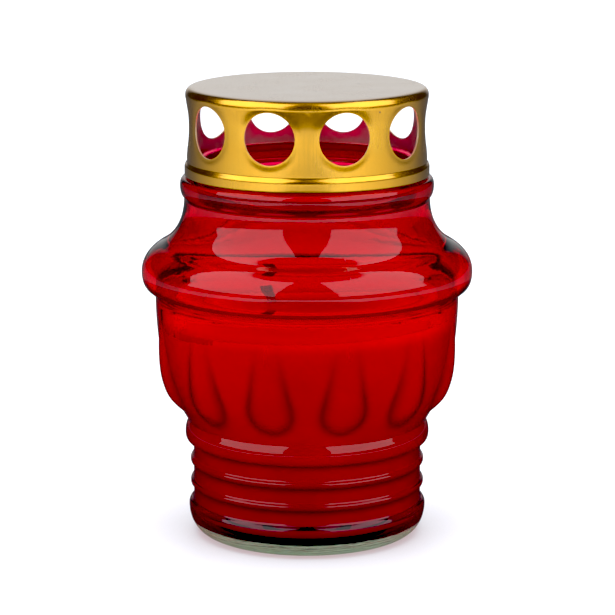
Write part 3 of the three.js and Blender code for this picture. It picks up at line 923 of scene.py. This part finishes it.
def floor():
    """A pale table that glows a little, its glow dimmed near the lamp by occlusion as a painted contact
    shadow. In reflections it is dim close by and behind, and bright in front.
    """
    steps = 120
    disc = new_object("floor", place(3000.0, even_angles(steps), 0.0), [tuple(range(steps))])
    disc.location.z = CAD_BOX[0][2]
    material, tree = new_material("pale_floor")
    where = object_place(tree)
    soft = grain(tree, where, 0.02, 3)
    covered = add(tree, "AmbientOcclusion", {"Distance": 0.045}, samples=8).outputs["AO"]
    dim = add(tree, "BsdfPrincipled", {"Base Color": (0.02, 0.02, 0.02, 1), "Roughness": 0.9})
    path = add(tree, "LightPath").outputs
    mirrored = maths(tree, "SUBTRACT", path["Is Glossy Ray"], path["Is Transmission Ray"])
    mirrored = maths(tree, "MAXIMUM", mirrored, 0.0)
    distance = add(tree, "VectorMath", {0: where}, operation="LENGTH").outputs["Value"]
    parts = add(tree, "SeparateXYZ", {0: where}).outputs
    angle = maths(tree, "ABSOLUTE", maths(tree, "ARCTAN2", parts[0], maths(tree, "MULTIPLY", parts[1], -1.0)))
    reach = remap(tree, angle, 10 * DEGREE, 32 * DEGREE, 610.0, 400.0)
    near = remap(tree, maths(tree, "SUBTRACT", distance, reach), -60.0, 60.0, 1, 0)
    behind = remap(tree, angle, 35 * DEGREE, 150 * DEGREE, 0, 0.95)
    hidden = maths(tree, "MULTIPLY", mirrored, maths(tree, "MAXIMUM", near, behind))
    front = maths(tree, "MULTIPLY", remap(tree, angle, 15 * DEGREE, 70 * DEGREE, 0.36, 0), mirrored)
    # Painted contact shadow: the glow is dimmed where occlusion finds the lamp close by.
    glow_with_painted_contact_shadow = remap(tree, covered, 0.35, 1.0, 0.36, 0.86, soft=False)
    inputs = {
        "Base Color": blend_colours(tree, soft, (0.26, 0.28, 0.31, 1), (0.28, 0.30, 0.33, 1)),
        "Roughness": remap(tree, soft, 0.3, 0.7, 0.5, 0.6),
        "Emission Color": (0.92, 0.955, 1.0, 1),
        "Emission Strength": maths(tree, "ADD", glow_with_painted_contact_shadow, front),
    }
    table = add(tree, "BsdfPrincipled", inputs)
    mix = add(tree, "MixShader", {0: hidden, 1: table.outputs[0], 2: dim.outputs[0]})
    finish_with(tree, mix.outputs[0])
    disc.data.materials.append(material)


def window(tree, value, low, high, soft):
    """1 between low and high, with soft sides."""
    rising = remap(tree, value, maths(tree, "SUBTRACT", low, soft), maths(tree, "ADD", low, soft))
    falling = remap(tree, value, maths(tree, "SUBTRACT", high, soft), maths(tree, "ADD", high, soft), 1, 0)
    return maths(tree, "MULTIPLY", rising, falling)


def studio():
    """White ground behind, a tall softbox at each side of the camera, a faint ceiling, and a dim room."""
    world = bpy.data.worlds.new("studio")
    bpy.context.scene.world = world
    world.use_nodes = True
    tree = world.node_tree
    tree.nodes.clear()
    toward = add(tree, "TexCoord").outputs["Generated"]
    parts = add(tree, "SeparateXYZ", {0: toward}).outputs
    forward = maths(tree, "MULTIPLY", parts[1], -1.0)
    angle = maths(tree, "ABSOLUTE", maths(tree, "ARCTAN2", parts[0], forward))
    rise = maths(tree, "ARCSINE", parts[2])
    over = maths(tree, "MAXIMUM", maths(tree, "SUBTRACT", rise, 20 * DEGREE), 0.0)
    outer = maths(tree, "ADD", maths(tree, "MULTIPLY", over, 0.85), 91 * DEGREE)
    inner = maths(tree, "SUBTRACT", 22 * DEGREE, maths(tree, "MULTIPLY", over, 0.12))
    across = window(tree, angle, inner, outer, 1.2 * DEGREE)
    up = window(tree, rise, 9 * DEGREE, 69 * DEGREE, 2 * DEGREE)
    softbox = maths(tree, "MULTIPLY", maths(tree, "MULTIPLY", across, up), SOFTBOX_LIGHT)
    path = add(tree, "LightPath").outputs
    through = path["Is Transmission Ray"]
    side = mix_values(tree, through, 150 * DEGREE, 100 * DEGREE)
    behind = remap(tree, angle, side, maths(tree, "ADD", side, 24 * DEGREE))
    low_enough = window(tree, rise, -1.0, 58 * DEGREE, 6 * DEGREE)
    backdrop = maths(tree, "MULTIPLY", maths(tree, "MULTIPLY", behind, low_enough), BACKDROP_LIGHT)
    room = mix_values(tree, through, ROOM_LIGHT, ROOM_THROUGH_GLASS)
    ceiling = remap(tree, rise, 68 * DEGREE, 84 * DEGREE, 0, CEILING_LIGHT)
    light = maths(tree, "MAXIMUM", softbox, backdrop)
    light = maths(tree, "MAXIMUM", light, maths(tree, "MAXIMUM", room, ceiling))
    strength = mix_values(tree, path["Is Camera Ray"], light, WHITE_GROUND)
    shine = add(tree, "Background", {"Color": (1, 1, 1, 1), "Strength": strength})
    add(tree, "OutputWorld", {"Surface": shine.outputs[0]})


def overhead_lamp():
    """A wide soft lamp that lifts the floor and the wax, and isn't seen in the gloss."""
    data = bpy.data.lights.new("overhead", "AREA")
    data.shape = "DISK"
    data.size = 1.6
    data.energy = OVERHEAD_POWER
    thing = bpy.data.objects.new("overhead", data)
    thing.location = (0, 0.1, 1.5)
    thing.visible_camera = False
    thing.visible_glossy = False
    thing.visible_transmission = False
    bpy.context.scene.collection.objects.link(thing)


def tone():
    """Plain picture values with deep blacks, as product pictures have, and enough bounces for the glass."""
    scene = bpy.context.scene
    scene.view_settings.view_transform = "Standard"
    scene.view_settings.use_curve_mapping = True
    levels = scene.view_settings.curve_mapping
    levels.black_level = BLACK_LEVEL
    levels.update()
    scene.cycles.max_bounces = 16
    scene.cycles.transmission_bounces = 16
    scene.cycles.transparent_max_bounces = 24
    scene.cycles.caustics_reflective = False


camera()
floor()
studio()
overhead_lamp()
tone()
glass_jar()
wax_fill()
wick()
wick_sustainer()
adhesive_pad()
vented_cap()
